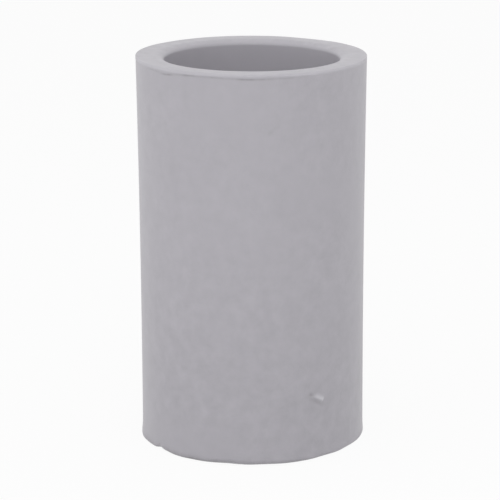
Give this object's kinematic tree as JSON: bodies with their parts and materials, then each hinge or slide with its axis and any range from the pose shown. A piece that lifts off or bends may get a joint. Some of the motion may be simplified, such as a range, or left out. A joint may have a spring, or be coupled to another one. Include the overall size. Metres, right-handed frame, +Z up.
{
  "type": "conduit coupling",
  "caption": "Straight slip coupling for rigid plastic conduit: a thick-walled grey sleeve with a socket at each end and a stop ring inside.",
  "frame": {"origin": "centre of the lower end face, which the coupling stands on", "axes": "+Z up along the bore, from the lower socket to the upper one; -Y towards the picture's camera, so that the gate mark is at the front right, low down"},
  "size_m": [0.0284, 0.0284, 0.0486],
  "materials": {
    "grey_pvc": "matte moulded plastic with a faint mottle"
  },
  "bodies": {
    "root": {"coupling_body": "grey_pvc"}
  },
  "joints": []
}
